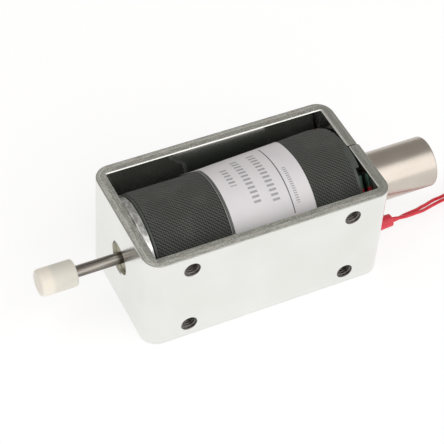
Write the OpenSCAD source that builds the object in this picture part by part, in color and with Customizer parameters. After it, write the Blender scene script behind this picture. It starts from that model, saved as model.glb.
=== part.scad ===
// Push-pull solenoid in a box frame of bent strip steel.
// The plunger slides along X: it stands out at +X, and its push rod comes out at -X.
// The frame's four tapped holes are in its -Y wall. +Z is up, and the frame stands on
// the lower edge of its strip, with the origin at the middle of that edge's outline.

/* [Frame] */
// Width of the strip that the frame is bent from, which is the frame's height
strip_w = 29; // [26:0.5:40]
// Thickness of the strip
strip_t = 3; // [2:0.1:4]
// Outer radius of the four bends
bend_r = 4.5; // [3.2:0.1:6]
// Inner radius of the four bends
bend_inner_r = 0.4; // [0.2:0.1:1]
// Distance of the seam from the middle of the +X wall
seam_y = 0.6; // [-1:0.1:1]
// Gap between the strip's two ends
seam_gap = 0.15; // [0.1:0.05:0.4]
// How far the back end of the strip stands inside its front end
seam_step = 0.3; // [0:0.05:0.4]
// Free room beside the coil, at each side
coil_side_gap = 0.25; // [0.2:0.05:2]
// Free room at the end of the bobbin
bobbin_end_gap = 0.5; // [0.45:0.05:1]

/* [Tapped holes] */
// Core diameter of the M4 thread
tap_d = 3.3; // [2.5:0.1:4.2]
// Diameter of the countersink at each mouth
tap_mouth_d = 4.3; // [4.3:0.1:5]
// Distance between the holes along X
tap_span_x = 43.5; // [30:0.5:50]
// Distance between the holes along Z
tap_span_z = 20; // [14:0.5:20.5]

/* [Coil] */
// Height of the plunger's axis above the lower edge of the frame
axis_z = 14.9; // [14.9:0.1:18]
// Diameter over the cloth tape
coil_d = 29.5; // [24:0.1:29.6]
// Thickness of the wrap of cloth tape
tape_build = 1.3; // [0.8:0.1:2]
// How far the flanges and the flux disc stand inside the tape's outer face
flange_inset = 0.05; // [0.05:0.05:0.5]
// Length of the bobbin
bobbin_l = 57.7; // [50:0.1:70]
// Thickness of the bobbin's -X flange
near_flange_t = 1; // [0.8:0.1:2]
// Thickness of the web of the bobbin's +X flange
far_web_t = 1.05; // [0.8:0.05:2]
// Depth of the channel for the leads in the +X flange
channel_depth = 1.05; // [1:0.05:1.2]
// Width of that channel, from the flange's rim inwards
channel_w = 5.1; // [4.9:0.1:5.6]
// Where the flange's raised part begins, in degrees from +Y towards +Z
boss_start = 54; // [50:1:60]
// Where the flange's raised part ends
boss_end = 115; // [100:1:117]
// Wall of the bobbin's tube
bobbin_wall = 1.1; // [0.8:0.1:1.6]
// Play between pieces that are stacked or wound on each other
stack_gap = 0.05; // [0.02:0.01:0.1]

/* [Label] */
// Thickness of the paper label
label_t = 0.08; // [0.05:0.01:0.12]
// Width of the label along X
label_w = 22.2; // [10:0.1:30]
// Distance of the label's middle from the frame's middle
label_x = 4.1; // [-6:0.1:6]

/* [Pole and guide tube] */
// Thickness of the flux disc
disc_t = 1.8; // [1:0.1:3]
// Length of the pole inside the frame
pole_l = 26; // [20:0.5:32]
// Diameter of the pole's spigot in the frame
spigot_d = 8.7; // [6:0.1:10]
// How far the spigot's end lies below the frame's outer face
spigot_set = 1.2; // [0.5:0.1:2]
// Chamfer at the mouth of the spigot's hole
spigot_mouth = 0.3; // [0.1:0.1:0.6]
// Radial play of the plunger in the guide tube
guide_gap = 0.06; // [0.03:0.01:0.1]
// Wall of the guide tube
guide_wall = 0.35; // [0.2:0.05:0.5]
// How far the guide tube ends below the frame's outer face
guide_set = 0.5; // [0.4:0.1:1.5]
// Radial play of the guide tube in the frame
guide_hole_gap = 0.09; // [0.05:0.01:0.2]
// Radial play of the push rod in the pole
rod_gap = 0.08; // [0.05:0.01:0.1]

/* [Plunger] */
// Diameter of the plunger
plunger_d = 13.5; // [12:0.1:14]
// Length of the plunger
plunger_l = 50.4; // [45:0.1:60]
// Length of the cone at the plunger's nose, and of the pole's cup
cone_l = 5; // [3:0.5:7]
// Width of the flat ring round the cone
cone_land = 0.5; // [0.3:0.1:1]
// Diameter of the flat end of the nose
nose_d = 6.4; // [5:0.1:8]
// Chamfer at the plunger's outer end
plunger_chamfer = 0.4; // [0.2:0.1:1]
// Travel from the rest position until the stop washer nearly meets the pole
stroke_in = 12; // [8:0.5:13]
// Air left between the stop washer and the pole at the end of that travel
stop_gap = 0.3; // [0.2:0.1:0.5]
// Thickness of the stop washer
washer_t = 0.5; // [0.3:0.1:1]
// How far the stop washer's rim stands inside the nose's edge
washer_rim = 0.1; // [0.05:0.05:0.5]

/* [Push rod and tip] */
// Diameter of the push rod
rod_d = 3; // [2.4:0.1:4]
// Bare rod between the frame and the tip at rest
rod_out = 10.8; // [9:0.1:20]
// How deep the rod sits in the plunger
rod_hold = 8; // [5:0.5:12]
// Diameter of the tip
tip_d = 7; // [5:0.1:8]
// Length of the tip
tip_l = 10.4; // [8:0.1:16]
// How deep the rod sits in the tip
tip_hold = 7; // [4:0.5:8]
// Radius of the tip's rounded edges
tip_round = 0.9; // [0.3:0.1:1.5]
// Play round the rod where it is pressed into the plunger and the tip
press_gap = 0.02; // [0.01:0.01:0.03]

/* [Leads] */
// Diameter of a lead over its insulation
lead_d = 0.9; // [0.7:0.05:0.9]
// Distance of the leads' hole from the plunger's axis, as a depth below the flange's rim
exit_depth = 2.5; // [2.3:0.1:3]
// Place of the leads' hole round the plunger's axis, in degrees from +Y towards +Z
exit_angle = 205.7; // [200:0.1:212]
// Depth of the front lead's stretch in the channel, below the flange's rim
front_depth = 1.7; // [1.6:0.1:2]
// Depth of the rear lead's stretch in the channel, below the flange's rim
rear_depth = 2.1; // [1.8:0.1:2.6]
// Distance between the two leads in the sleeve
lead_pitch = 1; // [0.9:0.05:1.1]
// Outer diameter of the sleeve round the leads
sleeve_d = 3.4; // [3.2:0.1:3.6]
// Inner diameter of that sleeve
sleeve_bore = 2.2; // [2.1:0.1:2.5]
// How far the sleeve stands out of the frame
sleeve_out = 5.4; // [5:0.1:8]
// How far the sleeve reaches into the wall
sleeve_in = 1.8; // [1:0.1:2.2]
// Play of the sleeve in its hole
sleeve_gap = 0.05; // [0.02:0.01:0.1]
// Diameter of a splice
splice_d = 1.1; // [1:0.05:1.1]
// Length of a splice
splice_l = 3.4; // [2.5:0.1:3.6]
// Diameter of the winding wire's ends
wire_d = 0.3; // [0.2:0.05:0.3]

/* [Hidden] */
$fn = 96;
eps = 0.01;

// Room inside the frame, and the frame's outer faces
room_w = coil_d + 2 * coil_side_gap;
room_l = disc_t + bobbin_l + bobbin_end_gap;
frame_l = room_l + 2 * strip_t;
frame_w = room_w + 2 * strip_t;
x_in = -room_l / 2;
x_out = room_l / 2;
x_left = -frame_l / 2;
x_right = frame_l / 2;

// Flanges, and the place of the leads' hole
flange_d = coil_d - 2 * flange_inset;
flange_r = flange_d / 2;
channel_r = flange_r - channel_w;
lead_y = (flange_r - exit_depth) * cos(exit_angle);
lead_z = axis_z + (flange_r - exit_depth) * sin(exit_angle);

// Stack of diameters round the plunger
guide_id = plunger_d + 2 * guide_gap;
guide_od = guide_id + 2 * guide_wall;
bobbin_id = guide_od + 2 * stack_gap;
bobbin_od = bobbin_id + 2 * bobbin_wall;
winding_id = bobbin_od + 2 * stack_gap;
winding_od = coil_d - 2 * tape_build;
tape_id = winding_od + 2 * stack_gap;
label_id = coil_d + 2 * stack_gap;

// Places along the axis
x_bobbin = x_in + disc_t;
x_bobbin_end = x_bobbin + bobbin_l;
x_channel = x_bobbin_end - channel_depth;
x_wind = x_bobbin + near_flange_t;
x_wind_end = x_channel - far_web_t;
x_pole_face = x_in + pole_l;
x_cup = x_pole_face - cone_l;
x_nose = x_cup + washer_t + stop_gap + stroke_in;
x_plunger_end = x_nose + plunger_l;
x_tip_end = x_left - rod_out;
x_tip = x_tip_end - tip_l;

// The sleeve's ends, and the middle of the leads in the channel
x_sleeve = x_right - sleeve_in;
x_sleeve_end = x_right + sleeve_out;
x_lead = x_sleeve_end - 0.5;
x_lay = x_bobbin_end - 0.5;

// Unit vector along v.
function unit(v) = v / norm(v);
// Point at x, turned by an angle from +Y towards +Z, at a depth below the flange's rim.
function at_flange(x, angle, depth) = let (r = flange_r - depth)
    [x, r * cos(angle), axis_z + r * sin(angle)];
// Points in the leads' hole and sleeve, at a height above the hole's axis.
function in_sleeve(side) = [
    for (x = [x_out, x_sleeve, x_right + 1.5, x_lead])
        [x, lead_y, lead_z + side * lead_pitch / 2]
];

// Route of each lead's inner stretch, from its splice round the flange's channel and
// out through the sleeve
TAIL_FRONT = concat(
    [for (a = [137:10:197]) at_flange(x_lay, a, front_depth)],
    [at_flange(x_lay + 0.2, exit_angle - 4.7, exit_depth - 0.1)],
    in_sleeve(1)
);
TAIL_REAR = concat(
    [for (a = [31:-14:-137]) at_flange(x_lay, a, rear_depth)],
    [at_flange(x_lay + 0.2, exit_angle - 354, exit_depth - 0.4)],
    in_sleeve(-1)
);
// Ends of each splice, where a lead and a winding wire meet
SPLICE_FRONT = [TAIL_FRONT[0],
    TAIL_FRONT[0] + splice_l * unit(TAIL_FRONT[0] - TAIL_FRONT[1])];
SPLICE_REAR = [TAIL_REAR[0],
    TAIL_REAR[0] + splice_l * unit(TAIL_REAR[0] - TAIL_REAR[1])];
// Ends of the winding wire, from the winding through the flange's web to the splices
front_wire_depth = flange_r - winding_od / 2 + 0.3;
front_wire_angle = 117;
rear_wire_depth = 4.3;
rear_wire_angle = 44.6;
WIRE_FRONT = [
    at_flange(x_wind_end - 0.4, front_wire_angle, front_wire_depth),
    at_flange(x_lay - 0.3, front_wire_angle, front_wire_depth),
    SPLICE_FRONT[1] + 0.55 * unit(SPLICE_FRONT[1] - SPLICE_FRONT[0]),
    SPLICE_FRONT[1]
];
WIRE_REAR = [
    at_flange(x_wind_end - 0.4, rear_wire_angle, rear_wire_depth),
    at_flange(x_lay - 0.3, rear_wire_angle, rear_wire_depth),
    SPLICE_REAR[1] + 0.55 * unit(SPLICE_REAR[1] - SPLICE_REAR[0]),
    SPLICE_REAR[1]
];
// Route of each free lead, from the sleeve down to the surface and on to the coil. Each
// point gives its distance from the right wall, its distance to the side of the leads'
// hole, and the share that is left of the height
UPPER_RUN = [
    [4.9, 0, 1], [6.5, -0.1, 0.98], [8.4, -0.2, 0.94], [10.3, 0.2, 0.86],
    [12.2, 0.8, 0.77], [14.2, 1.4, 0.69], [16.1, 2.1, 0.59], [18.1, 3, 0.48],
    [20.1, 4, 0.38], [22.1, 5, 0.28], [24.1, 5.9, 0.19], [26.2, 6.8, 0.1],
    [28.4, 7.6, 0.02], [30.6, 8.4, 0], [32.6, 9.2, 0], [34.4, 9.8, 0]
];
LOWER_RUN = [
    [4.9, 0, 1], [6.5, 0.1, 0.98], [8.4, 0.5, 0.95], [10.2, 1.2, 0.89],
    [12, 1.8, 0.82], [13.9, 2.4, 0.75], [15.7, 3.1, 0.66], [17.6, 4, 0.57],
    [19.6, 4.9, 0.47], [21.6, 5.9, 0.37], [23.6, 6.8, 0.28], [25.8, 7.7, 0.16],
    [28, 8.6, 0.05], [30.2, 9.4, 0], [32.3, 10.2, 0], [34.1, 10.8, 0]
];
// Height of a lead's middle where it lies on the surface
lie_z = 0.35 + lead_d / 2;
// Points of a free lead, for one of the two heights in the sleeve.
function free_lead(run, side) = let (rise = lead_z + side * lead_pitch / 2 - lie_z)
    [for (p = run) [x_right + sleeve_out - 5.4 + p[0], lead_y + p[1], lie_z + p[2] * rise]];
LEAD_UPPER = free_lead(UPPER_RUN, 1);
LEAD_LOWER = free_lead(LOWER_RUN, -1);
// Clear width of the passages for the winding wire in the web
wire_passage = 0.8;

// Stored length of the leads: a round coil that lies on the surface
coil_at = [x_right + sleeve_out + 31.1, lead_y + 4.4];
coil_r_in = 3.1;
coil_r_out = 7.4;
coil_bottom = 0.3;
coil_top = 3.2;
tie_t = 0.25;
tie_w = 1.6;
tie_gap = 0.03;
tie_turn = -60;

// Turns a shape made round Z so that its axis lies on the plunger's axis.
module on_axis(x = 0) {
    translate([x, 0, axis_z]) rotate([0, 90, 0]) children();
}

// Round bar or bored ring on the plunger's axis, from x0 to x1.
module ring(x0, x1, od, id = 0) {
    on_axis() difference() {
        translate([0, 0, x0]) cylinder(h = x1 - x0, d = od);
        if (id > 0) translate([0, 0, x0 - 1]) cylinder(h = x1 - x0 + 2, d = id);
    }
}

// Rectangle with rounded corners, centred on Y, from x0 to x1.
module round_rect(x0, x1, w, r) {
    translate([x0 + r, -w / 2]) square([x1 - x0 - 2 * r, w]);
    translate([x0, -w / 2 + r]) square([x1 - x0, w - 2 * r]);
    for (x = [x0 + r, x1 - r], y = [-w / 2 + r, w / 2 - r])
        translate([x, y]) circle(r = r);
}

// Outline of the bent strip, whose +X wall lies step further in.
module strip_loop(step) {
    difference() {
        round_rect(x_left, x_right - step, frame_w, bend_r);
        round_rect(x_in, x_out - step, room_w, bend_inner_r);
    }
}

// The half of the plane in front of the seam, or behind it.
module half_plane(front) {
    side = front ? -frame_w : 0;
    translate([-frame_l, seam_y + side]) square([2 * frame_l, frame_w]);
}

// One end of the strip is cut back by the seam's gap.
module seam_slot() {
    translate([0, seam_y - seam_gap / 2]) square([frame_l, seam_gap]);
}

// Tool for a tapped hole through the -Y wall: the core bore and its two countersinks.
module tap_tool() {
    sink = (tap_mouth_d - tap_d) / 2;
    rotate([90, 0, 0]) {
        translate([0, 0, -1]) cylinder(h = strip_t + 2, d = tap_d);
        translate([0, 0, -eps]) cylinder(h = sink + eps, d1 = tap_mouth_d, d2 = tap_d);
        translate([0, 0, strip_t - sink])
            cylinder(h = sink + eps, d1 = tap_d, d2 = tap_mouth_d);
    }
}

// Tool for the spigot's hole, with its chamfered mouth.
module spigot_tool() {
    hole_d = spigot_d + 2 * press_gap;
    on_axis(x_left) {
        translate([0, 0, -1]) cylinder(h = strip_t + 2, d = hole_d);
        translate([0, 0, -eps])
            cylinder(h = spigot_mouth + eps, d1 = hole_d + 2 * spigot_mouth, d2 = hole_d);
    }
}

module frame() {
    color("gainsboro") difference() {
        linear_extrude(strip_w) difference() {
            union() {
                intersection() {
                    strip_loop(0);
                    half_plane(true);
                }
                intersection() {
                    strip_loop(seam_step);
                    half_plane(false);
                }
            }
            seam_slot();
        }
        for (x = [-0.5, 0.5], z = [-0.5, 0.5])
            translate([x * tap_span_x, -room_w / 2, strip_w / 2 + z * tap_span_z])
                tap_tool();
        spigot_tool();
        on_axis(x_out - 1)
            cylinder(h = strip_t + 2, d = guide_od + 2 * guide_hole_gap);
        translate([x_out - 1, lead_y, lead_z]) rotate([0, 90, 0])
            cylinder(h = strip_t + 2, d = sleeve_d + 2 * sleeve_gap);
    }
}

module flux_disc() {
    color("silver")
        ring(x_in, x_bobbin, flange_d, plunger_d + 2 * stack_gap);
}

// Stepped iron core with a conical cup for the plunger's nose.
module pole() {
    cup_r = plunger_d / 2 - cone_land;
    color("lightslategray") on_axis() difference() {
        union() {
            translate([0, 0, x_left + spigot_set])
                cylinder(h = strip_t - spigot_set, d = spigot_d);
            translate([0, 0, x_in]) cylinder(h = pole_l, d = plunger_d);
        }
        translate([0, 0, x_left])
            cylinder(h = frame_l / 2, d = rod_d + 2 * rod_gap);
        translate([0, 0, x_cup]) cylinder(h = cone_l, r1 = nose_d / 2, r2 = cup_r);
        translate([0, 0, x_pole_face - eps]) cylinder(h = 1, r = cup_r);
    }
}

// Part of a ring round the plunger's axis, over a span of degrees from +Y towards +Z.
module ring_sector(x0, x1, r0, r1, from, span) {
    on_axis() rotate([0, 0, from + 90]) rotate_extrude(angle = span)
        translate([r0, x0]) square([r1 - r0, x1 - x0]);
}

// Square passage along X through the flange's web, open to the rim.
module wire_slot(angle, depth) {
    on_axis() rotate([0, 0, angle + 90])
        translate([flange_r - depth - wire_passage / 2, -wire_passage / 2,
                   x_wind_end - 1])
            cube([flange_r, wire_passage, far_web_t + 2]);
}

module bobbin() {
    color("dimgray") difference() {
        on_axis() rotate_extrude() polygon([
            [bobbin_id / 2, x_bobbin], [flange_r, x_bobbin], [flange_r, x_wind],
            [bobbin_od / 2, x_wind], [bobbin_od / 2, x_wind_end],
            [flange_r, x_wind_end], [flange_r, x_bobbin_end],
            [bobbin_id / 2, x_bobbin_end]
        ]);
        ring_sector(x_channel, x_bobbin_end + 1, channel_r, flange_r + 1, boss_end,
                    360 - boss_end + boss_start);
        wire_slot(front_wire_angle, front_wire_depth);
        wire_slot(rear_wire_angle, rear_wire_depth);
    }
}

module guide_tube() {
    color("goldenrod")
        ring(x_bobbin + stack_gap, x_right - guide_set, guide_od, guide_id);
}

module cloth_tape() {
    color("darkslategray")
        ring(x_wind + stack_gap, x_wind_end - stack_gap, coil_d, tape_id);
}

module label() {
    color("white")
        ring(label_x - label_w / 2, label_x + label_w / 2, label_id + 2 * label_t,
             label_id);
}

// Straight round bar from point a to point b.
module bar(a, b, d) {
    v = b - a;
    translate(a) rotate([0, acos(v[2] / norm(v)), atan2(v[1], v[0])])
        cylinder(h = norm(v), d = d, $fn = 24);
}

// Round wire along a route of points, with a slightly thicker ball at each bend.
module wire_run(route, d) {
    for (i = [0:len(route) - 2]) bar(route[i], route[i + 1], d);
    for (i = [1:len(route) - 2]) translate(route[i]) sphere(d = 1.2 * d, $fn = 24);
}

// Wound copper, with its two ends brought out through the flange's web.
module winding() {
    color("peru") {
        ring(x_wind + stack_gap, x_wind_end - stack_gap, winding_od, winding_id);
        wire_run(WIRE_FRONT, wire_d);
        wire_run(WIRE_REAR, wire_d);
    }
}

module splice_front() {
    color("darkgreen") bar(SPLICE_FRONT[0], SPLICE_FRONT[1], splice_d);
}

module splice_rear() {
    color("darkgreen") bar(SPLICE_REAR[0], SPLICE_REAR[1], splice_d);
}

// Direction of a route at its point i.
function heading(route, i) =
    unit(route[min(i + 1, len(route) - 1)] - route[max(i - 1, 0)]);
// Side vector of the ring at point i: level, or along Y where the route runs upright.
function sideways(t) =
    norm(cross(t, [0, 0, 1])) > 0.1 ? unit(cross(t, [0, 0, 1])) : [1, 0, 0];
// Points of the ring round a route's point i.
function ring_points(route, i, r, sides) = let (
    t = heading(route, i), s = sideways(t), u = cross(s, t)
) [for (k = [0:sides - 1]) let (a = 360 * k / sides)
    route[i] + r * (cos(a) * s + sin(a) * u)];

// Tube swept along a route of points, as one closed polyhedron.
module swept_tube(route, d, sides = 8) {
    last = len(route) - 1;
    points = [for (i = [0:last]) each ring_points(route, i, d / 2, sides)];
    walls = [for (i = [0:last - 1], k = [0:sides - 1]) let (n = (k + 1) % sides)
        [i * sides + k, i * sides + n, (i + 1) * sides + n, (i + 1) * sides + k]];
    start = [for (k = [sides - 1:-1:0]) k];
    end = [for (k = [0:sides - 1]) last * sides + k];
    polyhedron(points, concat([start, end], walls));
}

module tail_front() {
    color("crimson") swept_tube(TAIL_FRONT, lead_d);
}

module tail_rear() {
    color("crimson") swept_tube(TAIL_REAR, lead_d);
}

module lead_sleeve() {
    color("firebrick") translate([x_sleeve, lead_y, lead_z]) rotate([0, 90, 0])
        difference() {
            cylinder(h = x_sleeve_end - x_sleeve, d = sleeve_d);
            translate([0, 0, -1])
                cylinder(h = x_sleeve_end - x_sleeve + 2, d = sleeve_bore);
        }
}

module lead_upper() {
    color("crimson") swept_tube(LEAD_UPPER, lead_d);
}

module lead_lower() {
    color("crimson") swept_tube(LEAD_LOWER, lead_d);
}

module lead_coil() {
    color("crimson") translate([coil_at[0], coil_at[1], coil_bottom])
        rotate_extrude() translate([coil_r_in, 0])
            square([coil_r_out - coil_r_in, coil_top - coil_bottom]);
}

// Flat band that wraps the coil at one place.
module lead_tie() {
    out = tie_t + tie_gap;
    inner_x = sqrt(pow(coil_r_in, 2) - pow(tie_w / 2, 2));
    color("dimgray") translate([coil_at[0], coil_at[1], 0]) rotate([0, 0, tie_turn])
        translate([0, tie_w / 2, 0]) rotate([90, 0, 0]) linear_extrude(tie_w)
            difference() {
                translate([inner_x - out, 0])
                    square([coil_r_out - inner_x + 2 * out, coil_top + out]);
                translate([inner_x - tie_gap, tie_t])
                    square([coil_r_out - inner_x + 2 * tie_gap,
                            coil_top + tie_gap - tie_t]);
            }
}

// Bar with a conical nose, bored for the push rod.
module plunger() {
    r = plunger_d / 2;
    bore_r = rod_d / 2 + press_gap;
    color("silver") on_axis() rotate_extrude() polygon([
        [bore_r, x_nose], [nose_d / 2, x_nose], [r - cone_land, x_nose + cone_l],
        [r, x_nose + cone_l], [r, x_plunger_end - plunger_chamfer],
        [r - plunger_chamfer, x_plunger_end], [0, x_plunger_end],
        [0, x_nose + rod_hold], [bore_r, x_nose + rod_hold]
    ]);
}

module push_rod() {
    color("rosybrown") ring(x_tip_end - tip_hold, x_nose + rod_hold, rod_d);
}

// Cap with rounded edges and a blind bore for the rod.
module rod_tip() {
    r = tip_d / 2;
    color("ivory") on_axis() difference() {
        rotate_extrude() union() {
            translate([0, x_tip]) square([r - tip_round, tip_l]);
            translate([0, x_tip + tip_round]) square([r, tip_l - 2 * tip_round]);
            for (x = [x_tip + tip_round, x_tip_end - tip_round])
                translate([r - tip_round, x]) intersection() {
                    circle(r = tip_round);
                    translate([0, -tip_round]) square(2 * tip_round);
                }
        }
        translate([0, 0, x_tip_end - tip_hold])
            cylinder(h = tip_hold + 1, d = rod_d + 2 * press_gap);
    }
}

module stop_washer() {
    color("goldenrod")
        ring(x_nose - washer_t, x_nose, nose_d - 2 * washer_rim, rod_d + 2 * press_gap);
}

frame();
flux_disc();
pole();
bobbin();
guide_tube();
winding();
cloth_tape();
label();
splice_front();
splice_rear();
tail_front();
tail_rear();
lead_sleeve();
lead_upper();
lead_lower();
lead_coil();
lead_tie();
plunger();
push_rod();
rod_tip();
stop_washer();
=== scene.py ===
import logging
from dataclasses import dataclass
from enum import Enum

import bmesh
import bpy
import numpy as np
from mathutils import Matrix, Vector


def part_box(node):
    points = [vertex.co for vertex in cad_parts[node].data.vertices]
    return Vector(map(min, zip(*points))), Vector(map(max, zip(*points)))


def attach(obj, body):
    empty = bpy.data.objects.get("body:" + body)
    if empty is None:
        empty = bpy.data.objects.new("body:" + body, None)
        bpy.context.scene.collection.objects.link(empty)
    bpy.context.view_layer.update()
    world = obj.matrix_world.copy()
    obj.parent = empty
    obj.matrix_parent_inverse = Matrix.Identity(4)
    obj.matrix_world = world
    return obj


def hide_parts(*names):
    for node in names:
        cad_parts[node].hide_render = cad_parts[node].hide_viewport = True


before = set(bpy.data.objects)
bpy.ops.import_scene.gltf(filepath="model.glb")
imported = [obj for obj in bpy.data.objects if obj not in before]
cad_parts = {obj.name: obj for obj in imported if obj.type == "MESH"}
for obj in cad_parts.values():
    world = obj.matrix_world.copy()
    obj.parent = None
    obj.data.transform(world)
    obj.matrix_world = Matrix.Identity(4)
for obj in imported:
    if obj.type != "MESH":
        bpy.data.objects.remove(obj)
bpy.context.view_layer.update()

logging.basicConfig(level=logging.INFO, format="%(levelname)s %(message)s")
log = logging.getLogger("solenoid")

MM = 0.001
HOUSING = "housing"
ARMATURE = "armature"
LABEL_FLARE = 3.4
Colour = tuple[float, float, float]


def cad_span(node: str, axis: int) -> tuple[float, float]:
    """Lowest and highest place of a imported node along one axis, in millimetres.

    Args:
        node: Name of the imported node.
        axis: 0 for X, 1 for Y, 2 for Z.

    Returns:
        The two places in millimetres.
    """
    low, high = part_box(node)
    return low[axis] / MM, high[axis] / MM


AXIS_Z = sum(cad_span("plunger", 2)) / 2


# ---------------------------------------------------------------- shader helpers


class Socket:
    """A shader value that Python's operators turn into Math nodes."""

    def __init__(self, book: "NodeBook", link: bpy.types.NodeSocket) -> None:
        """Keeps the node tree's helper and the output socket."""
        self.book = book
        self.link = link

    def math(self, operation: str, *others: "Socket | float", flip: bool = False) -> "Socket":
        """Adds a Math node.

        Args:
            operation: The Math node's operation.
            others: The other operands.
            flip: True if this value is the second operand.

        Returns:
            The node's result.
        """
        operands = [self, *others]
        if flip:
            operands.reverse()
        return self.book.node("ShaderNodeMath", {"operation": operation}, dict(enumerate(operands)))

    def __add__(self, other: "Socket | float") -> "Socket":
        """Sum."""
        return self.math("ADD", other)

    __radd__ = __add__

    def __mul__(self, other: "Socket | float") -> "Socket":
        """Product."""
        return self.math("MULTIPLY", other)

    __rmul__ = __mul__

    def __sub__(self, other: "Socket | float") -> "Socket":
        """Difference."""
        return self.math("SUBTRACT", other)

    def __rsub__(self, other: "Socket | float") -> "Socket":
        """Difference with this value taken away from a number."""
        return self.math("SUBTRACT", other, flip=True)

    def __truediv__(self, other: "Socket | float") -> "Socket":
        """Quotient."""
        return self.math("DIVIDE", other)

    def step(self, low: float, high: float) -> "Socket":
        """Smooth step: 0 below low, 1 above high, t*t*(3 - 2t) between them."""
        settings = {"interpolation_type": "SMOOTHSTEP"}
        return self.book.node("ShaderNodeMapRange", settings, {0: self, 1: low, 2: high})

    def band(self, middle: float, half: float, soft: float) -> "Socket":
        """1 within half of middle, falling to 0 over soft."""
        away = (self - middle).math("ABSOLUTE")
        return 1 - away.step(half, half + soft)


class NodeBook:
    """The node tree of one material, with short ways to add to it."""

    def __init__(self, name: str) -> None:
        """Makes an empty material with one Principled shader."""
        self.material = bpy.data.materials.new(name)
        self.material.use_nodes = True
        self.tree = self.material.node_tree
        self.tree.nodes.clear()
        self.shader = self.tree.nodes.new("ShaderNodeBsdfPrincipled")
        output = self.tree.nodes.new("ShaderNodeOutputMaterial")
        self.tree.links.new(self.shader.outputs[0], output.inputs[0])

    def feed(self, node: bpy.types.Node, key: int | str, value: object) -> None:
        """Sets or links one input of a node."""
        socket = node.inputs[key]
        if isinstance(value, Socket):
            self.tree.links.new(value.link, socket)
        elif isinstance(value, tuple) and len(value) == 3 and socket.type == "RGBA":
            socket.default_value = (*value, 1.0)
        else:
            socket.default_value = value

    def node(
        self, kind: str, settings: dict | None = None, inputs: dict | None = None, out: int | str = 0
    ) -> Socket:
        """Adds a node of any type.

        Args:
            kind: The node's type.
            settings: Its own settings, set before its sockets.
            inputs: Values or links of its sockets, by name or number.
            out: Which output to return.

        Returns:
            The chosen output.
        """
        node = self.tree.nodes.new(kind)
        for key, value in (settings or {}).items():
            setattr(node, key, value)
        for key, value in (inputs or {}).items():
            self.feed(node, key, value)
        return Socket(self, node.outputs[out])

    def place(self, scale: Colour = (1000.0, 1000.0, 1000.0), turn: Colour = (0.0, 0.0, 0.0)) -> Socket:
        """Object coordinates in millimetres, stretched and turned."""
        here = self.node("ShaderNodeTexCoord", out="Object")
        return self.node("ShaderNodeMapping", None, {"Vector": here, "Rotation": turn, "Scale": scale})

    def uv(self) -> tuple[Socket, Socket]:
        """The piece's own UV map, whose two parts are lengths in millimetres."""
        here = self.node("ShaderNodeUVMap", {"uv_map": "mm"})
        parts = self.node("ShaderNodeSeparateXYZ", None, {0: here})
        return parts, Socket(self, parts.link.node.outputs[1])

    def xyz(self) -> tuple[Socket, Socket, Socket]:
        """Object coordinates in millimetres, one value each."""
        parts = self.node("ShaderNodeSeparateXYZ", None, {0: self.place()})
        outs = parts.link.node.outputs
        return parts, Socket(self, outs[1]), Socket(self, outs[2])

    def noise(self, at: Socket, scale: float, detail: float = 3.0, rough: float = 0.55) -> Socket:
        """Noise from 0 to 1 whose grains are about 1/scale millimetres wide."""
        inputs = {"Vector": at, "Scale": scale, "Detail": detail, "Roughness": rough}
        return self.node("ShaderNodeTexNoise", None, inputs)

    def mix(self, share: Socket | float, a: "Socket | Colour", b: "Socket | Colour") -> Socket:
        """Colour a where share is 0 and b where it is 1."""
        settings = {"data_type": "RGBA", "clamp_factor": True}
        return self.node("ShaderNodeMix", settings, {0: share, 6: a, 7: b}, 2)

    def bump(self, height: Socket, depth_mm: float) -> Socket:
        """Normal of a surface whose height runs over depth_mm."""
        inputs = {"Strength": 1.0, "Distance": depth_mm * MM, "Height": height}
        return self.node("ShaderNodeBump", None, inputs)

    def finish(self, **sockets: object) -> bpy.types.Material:
        """Sets the shader's sockets, where _ stands for a space, and returns the material."""
        for key, value in sockets.items():
            self.feed(self.shader, key.replace("_", " "), value)
        return self.material


# ---------------------------------------------------------------- finishes


@dataclass(frozen=True)
class ZincSheet:
    """Bright zinc plating on rolled strip: glossy, faintly clouded, fine rolling grain."""

    name: str = "zinc_sheet"
    bright: Colour = (0.82, 0.825, 0.795)
    dull: Colour = (0.79, 0.795, 0.76)
    pit: Colour = (0.66, 0.66, 0.6)
    gloss: float = 0.17

    def make(self) -> bpy.types.Material:
        """Builds the material."""
        book = NodeBook(self.name)
        at = book.place()
        clouds = book.noise(at, 0.07, 2.0, 0.5)
        grain = book.noise(book.place((90.0, 90.0, 1400.0)), 1.0, 2.0)
        pits = book.noise(at, 2.6, 3.0, 0.7)
        tint = book.mix(clouds.step(0.3, 0.7), self.bright, self.dull)
        tint = book.mix(pits.step(0.68, 0.76) * 0.25, tint, self.pit)
        rough = clouds * 0.08 + grain * 0.05 + (self.gloss - 0.04)
        return book.finish(
            Base_Color=tint, Metallic=1.0, Roughness=rough, Normal=book.bump(grain * 0.6 + pits * 0.4, 0.002)
        )


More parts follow.
